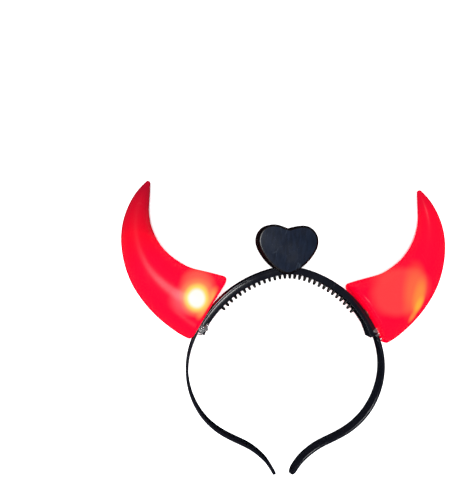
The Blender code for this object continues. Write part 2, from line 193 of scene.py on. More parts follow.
# Beads of clear hot glue.
GLUE = (
    # side    x      y     z    radius along x, y and z
    ("left", -58.6, 33.4, 4.6, 2.3, 3.4, 0.9),
    ("left", -57.6, 29.2, 4.7, 2.6, 3.0, 1.1),
    ("left", -56.4, 26.3, 4.4, 2.7, 1.9, 0.9),
    ("left", -54.1, 28.4, 4.7, 1.7, 2.4, 0.7),
    ("left", -52.6, 30.4, 4.8, 1.5, 0.9, 0.5),
    ("left", -60.4, 25.6, 3.6, 1.4, 2.6, 1.0),
    ("left", -60.9, 30.5, 4.4, 1.1, 4.2, 1.0),
    ("right", 58.2, 29.0, 4.6, 1.6, 3.0, 0.7),
    ("right", 59.8, 26.2, 4.2, 1.2, 2.4, 0.8),
    ("right", 60.9, 22.6, 3.7, 0.9, 2.0, 0.7),
)

# Stage. The camera is placed and turned in the headband's own frame, the softboxes in metres there.
CAMERA_AT = (-69.2, 81.2, 287.5)
CAMERA_TURN = (-0.75, -6.32, 2.04)
SOFTBOXES = (
    # name            place                 width and height  share of the power
    ("softbox_above", (-0.16, 0.08, 0.72), (0.22, 0.22), 1.0),
    ("softbox_low", (-0.29, -0.55, 0.74), (0.36, 0.12), 0.25),
)


class Curve:
    """A smooth function through a column of values, level at its start when flat_start is set."""

    def __init__(self, stations, values, flat_start=False):
        x = np.asarray(stations, float)
        y = np.asarray(values, float)
        step = np.diff(x)
        system = np.eye(len(x))
        right = np.zeros(len(x))
        for i in range(1, len(x) - 1):
            system[i, i - 1:i + 2] = step[i - 1], 2 * (step[i - 1] + step[i]), step[i]
            right[i] = 6 * ((y[i + 1] - y[i]) / step[i] - (y[i] - y[i - 1]) / step[i - 1])
        if flat_start:
            system[0, :2] = 2 * step[0], step[0]
            right[0] = 6 * (y[1] - y[0]) / step[0]
        self.x, self.y, self.bend = x, y, np.linalg.solve(system, right)

    def __call__(self, at):
        i = int(np.clip(np.searchsorted(self.x, at) - 1, 0, len(self.x) - 2))
        span = self.x[i + 1] - self.x[i]
        after = (at - self.x[i]) / span
        before = 1 - after
        swell = (before ** 3 - before) * self.bend[i] + (after ** 3 - after) * self.bend[i + 1]
        return float(before * self.y[i] + after * self.y[i + 1] + swell * span * span / 6)


hoop_radius = Curve([row[0] for row in HOOP], [row[1] for row in HOOP], flat_start=True)


def hoop_point(clock):
    turn = math.radians(clock)
    radius = hoop_radius(abs(clock))
    return np.array((radius * math.sin(turn), radius * math.cos(turn)))


def hoop_station(clock):
    """The hoop's outer face at a clock angle: point and inward normal."""
    along = hoop_point(clock + 0.05) - hoop_point(clock - 0.05)
    along /= np.linalg.norm(along)
    return hoop_point(clock), np.array((along[1], -along[0]))


def arc_to_tip(clock):
    """Distance along the outer face from a clock angle to the leg tip."""
    marks = np.linspace(abs(clock), LEG_TIP_CLOCK, 12)
    spots = np.array([hoop_point(mark) for mark in marks])
    return float(np.linalg.norm(np.diff(spots, axis=0), axis=1).sum())


# Meshes.


def headband_collection():
    found = bpy.data.collections.get(COLLECTION)
    if found is None:
        found = bpy.data.collections.new(COLLECTION)
        bpy.context.scene.collection.children.link(found)
    return found


def add_object(name, data, collection=None):
    made = bpy.data.objects.new(name, data)
    (collection or headband_collection()).objects.link(made)
    return made


@contextmanager
def reshaped(mesh):
    """The mesh opened for reshaping, and written back at the end."""
    shaped = bmesh.new()
    shaped.from_mesh(mesh)
    yield shaped
    shaped.to_mesh(mesh)
    shaped.free()


def outward(mesh):
    """Points the faces of a closed mesh outwards."""
    with reshaped(mesh) as shaped:
        bmesh.ops.recalc_face_normals(shaped, faces=shaped.faces)
    return mesh


def ring_faces(rings, sides):
    """The faces between closed rings of points, one ring after another."""
    return [
        (r * sides + k, r * sides + (k + 1) % sides, (r + 1) * sides + (k + 1) % sides, (r + 1) * sides + k)
        for r in range(rings - 1) for k in range(sides)
    ]


def mesh_from(name, points, faces):
    mesh = bpy.data.meshes.new(name)
    mesh.from_pydata([tuple(map(float, point)) for point in points], [], faces)
    return outward(mesh)


def path_mesh(name, points, closed, **columns):
    """A chain of edges with a named number or vector on each point."""
    mesh = bpy.data.meshes.new(name)
    edges = [(k, k + 1) for k in range(len(points) - 1)]
    if closed:
        edges.append((len(points) - 1, 0))
    mesh.from_pydata([tuple(map(float, point)) for point in points], edges, [])
    for label, values in columns.items():
        values = np.asarray(values, np.float32)
        flat = values.ndim == 1
        layer = mesh.attributes.new(label, "FLOAT" if flat else "FLOAT_VECTOR", "POINT")
        layer.data.foreach_set("value" if flat else "vector", values.ravel())
    return mesh


def put_column(mesh, label, values):
    layer = mesh.attributes.new(label, "FLOAT", "POINT")
    layer.data.foreach_set("value", np.asarray(values, np.float32))


def evaluated_mesh(item, name):
    """The object's mesh with its modifiers worked out."""
    bpy.context.view_layer.update()
    graph = bpy.context.evaluated_depsgraph_get()
    mesh = bpy.data.meshes.new_from_object(item.evaluated_get(graph), depsgraph=graph)
    mesh.name = name
    return mesh


def settle(item):
    """Turns an object's modifiers into its mesh."""
    mesh = evaluated_mesh(item, item.name)
    old = item.data
    item.modifiers.clear()
    item.data = mesh
    bpy.data.meshes.remove(old)
    return item


def smooth(item, angle=35.0):
    item.data.shade_smooth()
    item.data.set_sharp_from_angle(angle=math.radians(angle))


def seat_piece(item, slot, *nodes):
    """Rides the piece on the headband, in place of the solids that it dresses."""
    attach(item, "root")
    if nodes:
        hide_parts(*nodes)


def finish_piece(item, finish, angle, slot, *nodes):
    """Coats, smooths and seats a piece."""
    item.data.materials.clear()
    item.data.materials.append(finish)
    smooth(item, angle)
    seat_piece(item, slot, *nodes)


# Node trees.


def feed(tree, socket, value):
    """Sets an input to a value, or links it to the output that feeds it."""
    if isinstance(value, bpy.types.NodeSocket):
        tree.links.new(value, socket)
    else:
        socket.default_value = value


def add_node(tree, kind, inputs=None, **settings):
    """A node with its settings; each input is a value or the output that feeds it."""
    node = tree.nodes.new(kind)
    for key, value in settings.items():
        setattr(node, key, value)
    for key, value in (inputs or {}).items():
        feed(tree, node.inputs[key], value)
    return node


def new_tree(name, kind, inputs, outputs):
    """A tree, its input node's outputs and its output node. A socket is given as a default or a type."""
    tree = bpy.data.node_groups.new(name, kind)
    types = {float: "Float", int: "Int", tuple: "Vector"}
    for way, sockets in (("INPUT", inputs), ("OUTPUT", outputs)):
        for label, value in sockets.items():
            sort = types.get(type(value), value)
            socket = tree.interface.new_socket(label, in_out=way, socket_type="NodeSocket" + sort)
            if sort != value:
                socket.default_value = value
    return tree, tree.nodes.new("NodeGroupInput").outputs, tree.nodes.new("NodeGroupOutput")


def link(tree, output, node, key):
    tree.links.new(output, node.inputs[key])


def maths(tree, operation, *values, clamp=False):
    inputs = dict(enumerate(values))
    return add_node(tree, "ShaderNodeMath", inputs, operation=operation, use_clamp=clamp).outputs[0]


def vectors(tree, operation, *values, result=0, scale=None):
    inputs = dict(enumerate(values))
    if scale is not None:
        inputs["Scale"] = scale
    return add_node(tree, "ShaderNodeVectorMath", inputs, operation=operation).outputs[result]


def blend(tree, factor, first, second):
    inputs = {0: factor, 6: first, 7: second}
    return add_node(tree, "ShaderNodeMix", inputs, data_type="RGBA").outputs[2]


def spread(tree, value, low, high, to_low=0.0, to_high=1.0):
    inputs = {"Value": value, "From Min": low, "From Max": high, "To Min": to_low, "To Max": to_high}
    return add_node(tree, "ShaderNodeMapRange", inputs, interpolation_type="SMOOTHSTEP").outputs[0]


def noise_of(tree, vector, scale, detail=2.0, rough=0.5):
    inputs = {"Vector": vector, "Scale": scale, "Detail": detail, "Roughness": rough}
    return add_node(tree, "ShaderNodeTexNoise", inputs).outputs["Fac"]


def placed_group(tree, group, **inputs):
    """The outputs of a shared shader group with its own values, underscores standing for spaces."""
    inputs = {label.replace("_", " "): value for label, value in inputs.items()}
    return add_node(tree, "ShaderNodeGroup", inputs, node_tree=group()).outputs


# Shared shader groups.


def once(name):
    """Builds a node group the first time that it is asked for."""
    def kept(build):
        return lambda: bpy.data.node_groups.get(name) or build(name)
    return kept


@once("Moulded Skin")
def moulded_skin(name):
    """Grain and flow ripple as height, with uneven roughness."""
    tree, given, out = new_tree(name, "ShaderNodeTree", {
        "Vector": "Vector",
        "Grain Scale": 2200.0,
        "Ripple Scale": 90.0,
        "Grain": 0.3,
        "Ripple": 0.5,
        "Roughness": 0.3,
        "Roughness Spread": 0.1,
    }, {"Height": "Float", "Roughness": "Float", "Cloud": "Float"})
    grain = noise_of(tree, given["Vector"], given["Grain Scale"], 3.0, 0.6)
    ripple = noise_of(tree, given["Vector"], given["Ripple Scale"], 2.0, 0.45)
    height = maths(tree, "MULTIPLY", grain, given["Grain"])
    link(tree, maths(tree, "MULTIPLY_ADD", ripple, given["Ripple"], height), out, "Height")
    uneven = maths(tree, "SUBTRACT", maths(tree, "MULTIPLY_ADD", grain, 0.35, ripple), 0.67)
    swing = maths(tree, "MULTIPLY", uneven, given["Roughness Spread"])
    link(tree, maths(tree, "ADD", swing, given["Roughness"], clamp=True), out, "Roughness")
    link(tree, ripple, out, "Cloud")
    return tree


@once("Fine Scratches")
def fine_scratches(name):
    """Patches of thin drawn-out lines."""
    tree, given, out = new_tree(name, "ShaderNodeTree", {
        "Vector": "Vector",
        "Scale": 140.0,
        "Stretch": (1.0, 0.12, 1.0),
        "Amount": 0.5,
    }, {"Mask": "Float"})
    drawn = vectors(tree, "MULTIPLY", given["Vector"], given["Stretch"])
    inputs = {"Vector": drawn, "Scale": given["Scale"]}
    cells = add_node(tree, "ShaderNodeTexVoronoi", inputs, feature="DISTANCE_TO_EDGE")
    line = spread(tree, cells.outputs["Distance"], 0.0, 0.025, 1.0, 0.0)
    patch = spread(tree, noise_of(tree, given["Vector"], 110.0, 2.0), 0.52, 0.66)
    amount = maths(tree, "MULTIPLY", patch, given["Amount"])
    link(tree, maths(tree, "MULTIPLY", line, amount, clamp=True), out, "Mask")
    return tree


@once("Handling Dust")
def handling_dust(name):
    """Sparse flecks over soft smudges."""
    tree, given, out = new_tree(name, "ShaderNodeTree", {
        "Vector": "Vector",
        "Fleck Scale": 900.0,
        "Flecks": 0.5,
        "Smudges": 0.3,
    }, {"Mask": "Float"})
    inputs = {"Vector": given["Vector"], "Scale": given["Fleck Scale"]}
    cells = add_node(tree, "ShaderNodeTexVoronoi", inputs)
    chosen = spread(tree, vectors(tree, "LENGTH", cells.outputs["Color"], result=1), 1.28, 1.34)
    dots = maths(tree, "MULTIPLY", spread(tree, cells.outputs["Distance"], 0.08, 0.3, 1.0, 0.0), chosen)
    smear = spread(tree, noise_of(tree, given["Vector"], 70.0, 4.0, 0.62), 0.5, 0.75)
    flecks = maths(tree, "MULTIPLY", dots, given["Flecks"])
    link(tree, maths(tree, "MULTIPLY_ADD", smear, given["Smudges"], flecks, clamp=True), out, "Mask")
    return tree


@once("Glow Patch")
def glow_patch(name):
    """A long patch round a line, whole up to the distance Full and gone at the distance Dark."""
    tree, given, out = new_tree(name, "ShaderNodeTree", {
        "Vector": "Vector",
        "Centre": "Vector",
        "Through": (0.0, 0.0, 1.0),
        "Long Axis": (0.0, 1.0, 0.0),
        "Stretch": 1.0,
        "Full": 0.005,
        "Dark": 0.01,
        "Wander": 1.0,
    }, {"Mask": "Float"})
    offset = vectors(tree, "SUBTRACT", given["Vector"], given["Centre"])
    through = vectors(tree, "DOT_PRODUCT", offset, given["Through"], result=1)
    flat = vectors(tree, "SUBTRACT", offset, vectors(tree, "SCALE", given["Through"], scale=through))
    along = vectors(tree, "DOT_PRODUCT", flat, given["Long Axis"], result=1)
    square = maths(tree, "MULTIPLY", given["Stretch"], given["Stretch"])
    cut = maths(tree, "SUBTRACT", 1.0, maths(tree, "DIVIDE", 1.0, square))
    saved = maths(tree, "MULTIPLY", maths(tree, "MULTIPLY", along, along), cut)
    left = maths(tree, "SUBTRACT", vectors(tree, "DOT_PRODUCT", flat, flat, result=1), saved)
    far = maths(tree, "MULTIPLY", maths(tree, "SQRT", left), given["Wander"])
    link(tree, spread(tree, far, given["Full"], given["Dark"], 1.0, 0.0), out, "Mask")
    return tree


# Finishes.


def new_material(name, colour):
    """A material with an empty Principled BSDF, and its object coordinates."""
    made = bpy.data.materials.new(name)
    made.use_nodes = True
    made.diffuse_color = (*colour, 1.0)
    tree = made.node_tree
    where = add_node(tree, "ShaderNodeTexCoord").outputs["Object"]
    return made, tree, tree.nodes["Principled BSDF"], where


def tinted(colour, factor):
    """A colour made darker or lighter, with its alpha."""
    return (*(factor * part for part in colour), 1.0)


def column(tree, label):
    return add_node(tree, "ShaderNodeAttribute", attribute_name=label).outputs["Fac"]


def coat(tree, shader, height, strength, distance, **inputs):
    """Feeds the shader, with a bump from the height; underscores stand for spaces."""
    bump = {"Strength": strength, "Distance": distance, "Height": height}
    inputs["Normal"] = add_node(tree, "ShaderNodeBump", bump).outputs["Normal"]
    for label, value in inputs.items():
        feed(tree, shader.inputs[label.replace("_", " ")], value)


def black_plastic(
    name, colour, roughness, worn, ripple=0.5, specular=0.4, streak=(1.0, 0.12, 1.0), face=None
):
    """Moulded plastic with grain, flow ripple, scratches and dust, and, if a face colour is given, a frosted
    face whose colour is a painted reflection.
    """
    made, tree, shader, where = new_material(name, colour)
    skin = placed_group(
        tree, moulded_skin, Vector=where, Grain=0.25, Ripple=ripple, Roughness=roughness,
        Roughness_Spread=0.16,
    )
    scratches = placed_group(tree, fine_scratches, Vector=where, Stretch=streak, Amount=0.8)["Mask"]
    dust = placed_group(tree, handling_dust, Vector=where, Flecks=0.55, Smudges=0.3)["Mask"]
    cuts = maths(tree, "MULTIPLY", scratches, 0.4)
    light = blend(tree, skin["Cloud"], tinted(colour, 0.75), tinted(colour, 1.35))
    # Painted reflection: the face colour is a bluish slate sheen laid over the black plastic, broken up by a
    # real frosted grain.
    if face:
        drawn = vectors(tree, "MULTIPLY", where, (1.0, 0.16, 1.0))
        frost = spread(tree, noise_of(tree, drawn, 620.0, 3.0, 0.6), 0.35, 0.7)
        frost_and_sheen = blend(tree, frost, tinted(face, 0.8), tinted(face, 1.3))
        light = blend(tree, column(tree, "face"), light, frost_and_sheen)
    marked = blend(tree, cuts, light, (*worn, 1.0))
    dusty = blend(tree, maths(tree, "MULTIPLY", dust, 0.2), marked, (0.012, 0.012, 0.014, 1.0))
    rough = maths(tree, "MULTIPLY_ADD", dust, 0.18, skin["Roughness"], clamp=True)
    height = maths(tree, "SUBTRACT", skin["Height"], cuts)
    coat(
        tree, shader, height, 0.35, 0.00005,
        Base_Color=dusty, Roughness=rough, Specular_IOR_Level=specular,
    )
    return made


def horn_plastic(name, settings, patches, fade):
    """Translucent red plastic lit from behind, with painted shade that darkens it towards the point, and its
    parting line.
    """
    made, tree, shader, where = new_material(name, settings.body_colour)
    along, above, seam = (column(tree, label) for label in ("along", "from_base", "seam"))
    skin = placed_group(
        tree, moulded_skin, Vector=where, Grain_Scale=1500.0, Ripple_Scale=55.0, Grain=0.12, Ripple=0.8,
        Roughness=settings.roughness, Roughness_Spread=0.12,
    )
    scratches = placed_group(tree, fine_scratches, Vector=where, Scale=90.0, Amount=0.5)["Mask"]
    dust = placed_group(tree, handling_dust, Vector=where, Flecks=0.3, Smudges=0.2)["Mask"]
    # Painted shade: the body's red darkens towards the point, where the lamp's light doesn't reach.
    towards_point = spread(tree, along, 0.4, 1.0)
    body = blend(tree, towards_point, (*settings.body_colour, 1.0), (*settings.point_shade_colour, 1.0))
    thick = spread(tree, skin["Cloud"], 0.3, 0.7, 0.0, 0.22)
    body = blend(tree, thick, body, tinted(settings.body_colour, 0.72))
    lined = blend(tree, maths(tree, "MULTIPLY", seam, 0.6), body, (*settings.seam_colour, 1.0))
    dusty = blend(tree, maths(tree, "MULTIPLY", dust, 0.15), lined, (0.45, 0.004, 0.015, 1.0))
    rough = maths(tree, "MULTIPLY_ADD", scratches, 0.15, skin["Roughness"], clamp=True)
    height = maths(tree, "MULTIPLY_ADD", scratches, -0.3, skin["Height"])

    lit = spread(tree, along, fade[0], fade[1], 1.0, fade[2])
    light = blend(tree, lit, (0.0, 0.0, 0.0, 1.0), (*settings.glow_colour, 1.0))
    wander = maths(tree, "MULTIPLY_ADD", skin["Cloud"], 0.3, 0.85)
    wall = spread(tree, above, settings.floor_shade * 0.4, settings.floor_shade)
    turned = PLACE.to_3x3().normalized()
    through = tuple(turned @ Vector((0.0, 0.0, 1.0)))
    for x, y, turn, stretch, full, dark, tint in patches:
        angle = math.radians(turn)
        centre = tuple(PLACE @ Vector((x, y, 0.0)))
        axis = tuple(turned @ Vector((math.cos(angle), math.sin(angle), 0.0)))
        patch = placed_group(
            tree, glow_patch, Vector=where, Centre=centre, Through=through, Long_Axis=axis, Stretch=stretch,
            Full=full * MM, Dark=dark * MM, Wander=wander,
        )
        light = blend(tree, maths(tree, "MULTIPLY", patch["Mask"], wall), light, (*tint, 1.0))
    coat(
        tree, shader, height, 0.3, 0.00012, Base_Color=dusty, Roughness=rough, Specular_IOR_Level=0.05,
        Emission_Color=light, Emission_Strength=settings.glow,
    )
    made.cycles.emission_sampling = "NONE"
    return made


def lamp_resin(name, settings):
    """Clear lamp resin, whose nose is lit."""
    made, tree, shader, where = new_material(name, settings.colour)
    skin = placed_group(tree, moulded_skin, Vector=where, Ripple_Scale=400.0, Roughness=0.12)
    nose = spread(tree, column(tree, "rise"), 0.55, 0.85)
    warm = blend(tree, skin["Cloud"], (*settings.colour, 1.0), (1.0, 0.82, 0.55, 1.0))
    resin = blend(tree, nose, (0.12, 0.05, 0.04, 1.0), warm)
    light = blend(tree, nose, (0.0, 0.0, 0.0, 1.0), warm)
    coat(
        tree, shader, skin["Height"], 0.2, 0.00005, Base_Color=resin, Roughness=skin["Roughness"],
        Emission_Color=light, Emission_Strength=settings.strength,
    )
    made.cycles.emission_sampling = "NONE"
    return made


def glue_resin(name, settings):
    """Clear hot glue with small bubbles and stretched skin, tinted grey with painted shade."""
    made, tree, shader, where = new_material(name, (0.75, 0.75, 0.75))
    skin = placed_group(
        tree, moulded_skin, Vector=where, Grain_Scale=1600.0, Ripple_Scale=420.0, Grain=0.2, Ripple=0.8,
        Roughness=settings.roughness,
    )
    # Painted shade: the grey tint darkens the clear glue to the dark look it takes over the black hoop.
    tint = blend(tree, skin["Cloud"], (0.45, 0.45, 0.47, 1.0), (0.85, 0.85, 0.86, 1.0))
    coat(
        tree, shader, skin["Height"], 0.5, 0.0002, Base_Color=tint, Roughness=skin["Roughness"],
        Transmission_Weight=0.92, IOR=1.48,
    )
    return made


def table_finish(name, colour):
    """Pale matt table top with a faint paper grain."""
    made, tree, shader, where = new_material(name, colour)
    skin = placed_group(
        tree, moulded_skin, Vector=where, Grain_Scale=900.0, Ripple_Scale=6.0, Roughness=0.85
    )
    shade = blend(tree, skin["Cloud"], tinted(colour, 0.985), tinted(colour, 1.0))
    coat(
        tree, shader, skin["Height"], 0.1, 0.00005, Base_Color=shade, Roughness=skin["Roughness"],
        Specular_IOR_Level=0.1,
    )
    return made


# Sweeps along the hoop.


def hoop_path(name, clocks, swell=None, groove=None, narrow=None):
    """The hoop's outer line with the numbers that a sweep along it needs."""
    stations = [hoop_station(clock) for clock in clocks]
    turned = PLACE.to_3x3()
    spine = [PLACE @ Vector((*at, 0.0)) for at, _ in stations]
    inward = [(turned @ Vector((*normal, 0.0))).normalized() for _, normal in stations]
    front = [(turned @ Vector((0.0, 0.0, 1.0))).normalized()] * len(clocks)
    columns = {
        "spine": spine,
        "inward": inward,
        "front": front,
        "swell": [swell(abs(c)) if swell else 0.0 for c in clocks],
        "groove": [groove(abs(c)) if groove else 0.0 for c in clocks],
        "narrow": [narrow(abs(c)) if narrow else 1.0 for c in clocks],
    }
    return add_object(name, path_mesh(name, spine, False, **columns))


def section_outline(name, top, bottom, half_depth, corner, steps, groove_half=None):
    """A rounded rectangle; low marks the corners that swell inwards, dip those of the comb's groove."""
    rows = []
    centres = (
        (top + corner, half_depth - corner, 90, 0.0),
        (top + corner, corner - half_depth, 180, 0.0),
        (bottom - corner, corner - half_depth, 270, 1.0),
        (bottom - corner, half_depth - corner, 0, 1.0),
    )
    for number, (inset, z, start, low) in enumerate(centres):
        if number == 3 and groove_half:
            corners = ((-1, 0.0), (-1, 1.0), (1, 1.0), (1, 0.0))
            rows += [(bottom, side * groove_half, 1.0, dip) for side, dip in corners]
        for k in range(steps + 1):
            turn = math.radians(start + 90 * k / steps)
            rows.append((inset + corner * math.cos(turn), z + corner * math.sin(turn), low, 0.0))
    inset, depth, low, dip = (np.array(values) for values in zip(*rows))
    points = [(x * MM, z * MM, 0.0) for x, z in zip(inset, depth)]
    columns = {"inset": inset * MM, "depth": depth * MM, "low": low, "dip": dip}
    return add_object(name, path_mesh(name, points, True, **columns))


def named(tree, label, vector=False):
    kind = "FLOAT_VECTOR" if vector else "FLOAT"
    node = add_node(tree, "GeometryNodeInputNamedAttribute", {"Name": label}, data_type=kind)
    return node.outputs["Attribute"]


def shape_of(tree, item):
    return add_node(tree, "GeometryNodeObjectInfo", {"Object": item}).outputs["Geometry"]


def curve_of(tree, item):
    return add_node(tree, "GeometryNodeMeshToCurve", {"Mesh": shape_of(tree, item)}).outputs["Curve"]


def finished_tree(tree, geometry, given, out):
    """Ends a tree: instances made real, then the finish."""
    real = add_node(tree, "GeometryNodeRealizeInstances", {"Geometry": geometry})
    inputs = {"Geometry": real.outputs["Geometry"], "Material": given["Finish"]}
    coated = add_node(tree, "GeometryNodeSetMaterial", inputs)
    link(tree, coated.outputs["Geometry"], out, "Geometry")
    return tree


@once("Sweep Along Hoop")
def sweep_tree(name):
    """A section swept along the hoop, swollen, grooved and narrowed by the path's numbers."""
    tree, given, out = new_tree(name, "GeometryNodeTree", {
        "Geometry": "Geometry",
        "Path": "Object",
        "Section": "Object",
        "Swell": 0.0,
        "Groove": 0.0,
        "Finish": "Material",
    }, {"Geometry": "Geometry"})
    path, section = (curve_of(tree, given[label]) for label in ("Path", "Section"))
    inputs = {"Curve": path, "Profile Curve": section, "Fill Caps": True}
    swept = add_node(tree, "GeometryNodeCurveToMesh", inputs)
    swelling = maths(tree, "MULTIPLY", named(tree, "swell"), named(tree, "low"))
    swell = maths(tree, "MULTIPLY", swelling, given["Swell"])
    dipping = maths(tree, "MULTIPLY", named(tree, "groove"), named(tree, "dip"))
    groove = maths(tree, "MULTIPLY", dipping, given["Groove"])
    inset = maths(tree, "SUBTRACT", maths(tree, "ADD", named(tree, "inset"), swell), groove)
    depth = maths(tree, "MULTIPLY", named(tree, "depth"), named(tree, "narrow"))
    inwards = vectors(tree, "SCALE", named(tree, "inward", True), scale=inset)
    forwards = vectors(tree, "SCALE", named(tree, "front", True), scale=depth)
    spot = vectors(tree, "ADD", vectors(tree, "ADD", named(tree, "spine", True), inwards), forwards)
    moved = add_node(tree, "GeometryNodeSetPosition", {"Geometry": swept.outputs["Mesh"], "Position": spot})
    inputs = {"Geometry": moved.outputs["Geometry"], "Distance": 1e-6}
    merged = add_node(tree, "GeometryNodeMergeByDistance", inputs)
    return finished_tree(tree, merged.outputs["Geometry"], given, out)


@once("Pegs Along Hoop")
def peg_tree(name):
    """Pegs evenly spaced along the path, each of a slightly different height, joined to the plate."""
    tree, given, out = new_tree(name, "GeometryNodeTree", {
        "Geometry": "Geometry",
        "Path": "Object",
        "Peg": "Object",
        "Count": 29,
        "Inset": 0.0,
        "Unevenness": 0.03,
        "Seed": 7,
        "Finish": "Material",
    }, {"Geometry": "Geometry"})
    inputs = {"Curve": curve_of(tree, given["Path"]), "Count": given["Count"]}
    spaced = add_node(tree, "GeometryNodeResampleCurve", inputs)
    inward = named(tree, "inward", True)
    shift = vectors(tree, "SCALE", inward, scale=given["Inset"])
    sunk = add_node(tree, "GeometryNodeSetPosition", {"Geometry": spaced.outputs["Curve"], "Offset": shift})
    inputs = {"Primary Axis": inward, "Secondary Axis": named(tree, "front", True)}
    aimed = add_node(tree, "FunctionNodeAxesToRotation", inputs, primary_axis="Z", secondary_axis="Y")
    drawn = add_node(tree, "FunctionNodeRandomValue", {"Seed": given["Seed"]}, data_type="FLOAT")
    lowest, highest = [socket for socket in drawn.inputs if socket.enabled][:2]
    feed(tree, lowest, maths(tree, "SUBTRACT", 1.0, given["Unevenness"]))
    feed(tree, highest, 1.0)
    value = [socket for socket in drawn.outputs if socket.enabled][0]
    size = add_node(tree, "ShaderNodeCombineXYZ", {"X": 1.0, "Y": 1.0, "Z": value})
    pegs = add_node(tree, "GeometryNodeInstanceOnPoints", {
        "Points": sunk.outputs["Geometry"],
        "Instance": shape_of(tree, given["Peg"]),
        "Rotation": aimed.outputs["Rotation"],
        "Scale": size.outputs["Vector"],
    })
    joined = add_node(tree, "GeometryNodeJoinGeometry", {"Geometry": pegs.outputs["Instances"]})
    link(tree, given["Geometry"], joined, "Geometry")
    return finished_tree(tree, joined.outputs["Geometry"], given, out)


def add_tree(item, tree, **values):
    """A Geometry Nodes modifier whose inputs are set by name."""
    made = item.modifiers.new(tree.name, "NODES")
    made.node_group = tree
    items = [item for item in tree.interface.items_tree if item.item_type == "SOCKET"]
    sockets = {socket.name: socket.identifier for socket in items if socket.in_out == "INPUT"}
    for label, value in values.items():
        made[sockets[label]] = value


def sweep_piece(name, path, section, finish, swell=0.0, groove=0.0):
    """A closed piece swept along the hoop."""
    item = add_object(name, bpy.data.meshes.new(name))
    sizes = {"Swell": swell * MM, "Groove": groove * MM}
    add_tree(item, sweep_tree(), Path=path, Section=section, Finish=finish, **sizes)
    return item


def drop(*items):
    for item in items:
        data = item.data
        bpy.data.objects.remove(item)
        if data and data.users == 0:
            bpy.data.meshes.remove(data)


def soften(item, width, segments, angle):
    """Rounds the edges that are sharper than the angle."""
    made = item.modifiers.new("soften", "BEVEL")
    made.width = width * MM
    made.segments = segments
    made.limit_method = "ANGLE"
    made.angle_limit = math.radians(angle)


# Hoop and comb.


def tip_narrowing(clock):
    short = max(0.0, 1 - arc_to_tip(clock) / LEG_TIP_ROUND)
    return math.sqrt(max(1 - short * short, 0.0025))


def build_hoop(settings):
    worn = (0.02, 0.021, 0.026)
    finish = black_plastic("hoop_black", tuple(settings.colour), settings.roughness, worn, specular=0.3)
    tip_clocks = [LEG_TIP_CLOCK - LEG_TIP_SPAN * (k / 14) ** 2 for k in range(15)]
    half = list(np.arange(1.0, LEG_TIP_CLOCK - LEG_TIP_SPAN, 1.0)) + tip_clocks[::-1]
    clocks = [-c for c in half[::-1]] + [0.0] + half
    path = hoop_path("hoop_path", clocks, narrow=tip_narrowing)
    section = section_outline(
        "strip_section", 0.0, settings.strip_thickness / MM, settings.strip_depth / MM / 2, 0.5, 4
    )
    strip = settle(sweep_piece("hoop_strip", path, section, finish))
    outward(strip.data)
    smooth(strip)
    seat_piece(strip, "band", "band")
    drop(path, section)

    def swelling(clock):
        return min(max((clock - CHANNEL_SWELL_CLOCK) / (CHANNEL_END_CLOCK - CHANNEL_SWELL_CLOCK), 0.0), 1.0)

    def grooved(clock):
        return 1.0 if clock < GROOVE_END_CLOCK else 0.0

    step = (GROOVE_END_CLOCK - 0.05, GROOVE_END_CLOCK + 0.05)
    marks = sorted({*np.arange(0.0, CHANNEL_END_CLOCK + 0.1, 1.0), *step})
    clocks = [-c for c in marks[:0:-1]] + marks
    path = hoop_path("channel_path", clocks, swell=swelling, groove=grooved)
    bottom, half_depth = settings.channel_height / MM, settings.channel_depth / MM / 2
    section = section_outline("channel_section", CHANNEL_TOP, bottom, half_depth, 0.6, 4, GROOVE_HALF)
    channel = sweep_piece("comb_channel", path, section, finish, CHANNEL_SWELL, GROOVE_DEPTH)
    settle(channel)
    outward(channel.data)
    soften(channel, CHANNEL_EDGE, 3, 50.0)
    settle(channel)
    smooth(channel)
    seat_piece(channel, "band", "band")
    drop(path, section)


def peg_mesh(length, root, point, squash):
    """A tapered peg with a round end, its foot sunk below the plate's face."""
    rings = [(-0.8, root), (0.0, 0.97 * root), (0.25 * length, 0.5 * (root + point) + 0.06)]
    rings += [(length - point, point)]
    bends = np.radians((20, 40, 58, 74))
    rings += [(length - point + point * math.sin(bend), point * math.cos(bend)) for bend in bends]
    sides = 14
    turns = 2 * math.pi * np.arange(sides) / sides
    points = [
        (radius * math.cos(turn), squash * radius * math.sin(turn), height)
        for height, radius in rings for turn in turns
    ]
    faces = ring_faces(len(rings), sides)
    faces.append(tuple(range(sides)))
    points.append((0.0, 0.0, length))
    top = (len(rings) - 1) * sides
    faces += [(top + j, top + (j + 1) % sides, len(points) - 1) for j in range(sides)]
    return mesh_from("peg", np.array(points) * MM, faces)


def build_comb(settings):
    worn = (0.03, 0.025, 0.022)
    finish = black_plastic("comb_black", tuple(settings.colour), settings.roughness, worn, 0.3, specular=0.15)
    path = hoop_path("comb_path", list(np.linspace(-COMB_END_CLOCK, COMB_END_CLOCK, 111)))
    top, bottom = (settings.plate_inset - settings.plate_thickness) / MM, settings.plate_inset / MM
    section = section_outline("plate_section", top, bottom, GROOVE_HALF - CLEARANCE, 0.2, 2)
    comb = sweep_piece("grip_comb", path, section, finish)
    pegs = hoop_path("peg_path", list(np.linspace(-PEG_END_CLOCK, PEG_END_CLOCK, 93)))
    length = settings.peg_length / MM
    foot = settings.peg_radius / MM
    peg = add_object("peg", peg_mesh(length, foot, 0.78 * foot, 1.25))
    sizes = {"Count": settings.peg_count, "Inset": settings.plate_inset + 0.3 * MM}
    add_tree(comb, peg_tree(), Path=pegs, Peg=peg, Finish=finish, **sizes)
    settle(comb)
    outward(comb.data)
    smooth(comb)
    seat_piece(comb, "comb", "comb")
    drop(path, section, pegs, peg)


# Horns.


def seat_drop(x):
    """How far the hollowed base reaches past the plane through its middle."""
    return x * x / (2 * HORN_SEAT)


